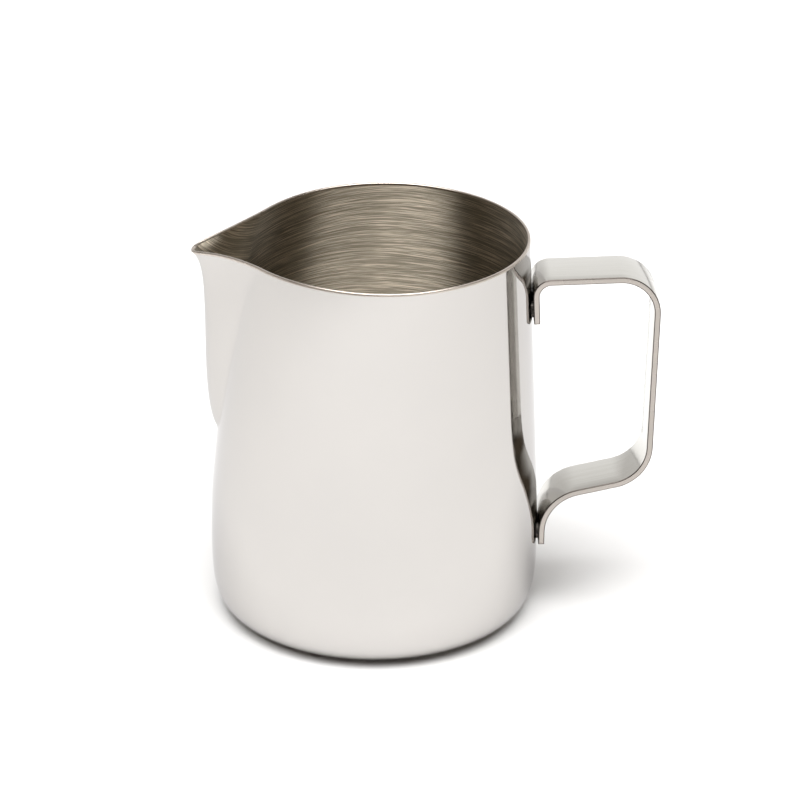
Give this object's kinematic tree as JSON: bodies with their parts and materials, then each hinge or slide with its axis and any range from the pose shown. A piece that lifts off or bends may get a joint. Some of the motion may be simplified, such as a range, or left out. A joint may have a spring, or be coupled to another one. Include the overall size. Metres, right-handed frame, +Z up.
{
  "type": "milk frothing pitcher",
  "caption": "Steel milk frothing pitcher: tapered round cup with a pressed V spout and a bent strap handle welded on opposite it.",
  "frame": {"origin": "middle of the flat base, on the surface it stands on", "axes": "+Z up along the cup's axis, +X towards the handle, -X towards the spout"},
  "size_m": [0.1258, 0.0904, 0.1082],
  "materials": {
    "polished_steel": "stainless steel, mirror polished outside and circumferentially brushed inside",
    "strap_steel": "stainless strip, polished, with fine lengthwise brushing",
    "weld_steel": "dull resistance-weld metal"
  },
  "bodies": {
    "root": {"cup": "polished_steel", "handle_strap": "strap_steel", "upper_welds": "weld_steel", "lower_welds": "weld_steel"}
  },
  "joints": []
}
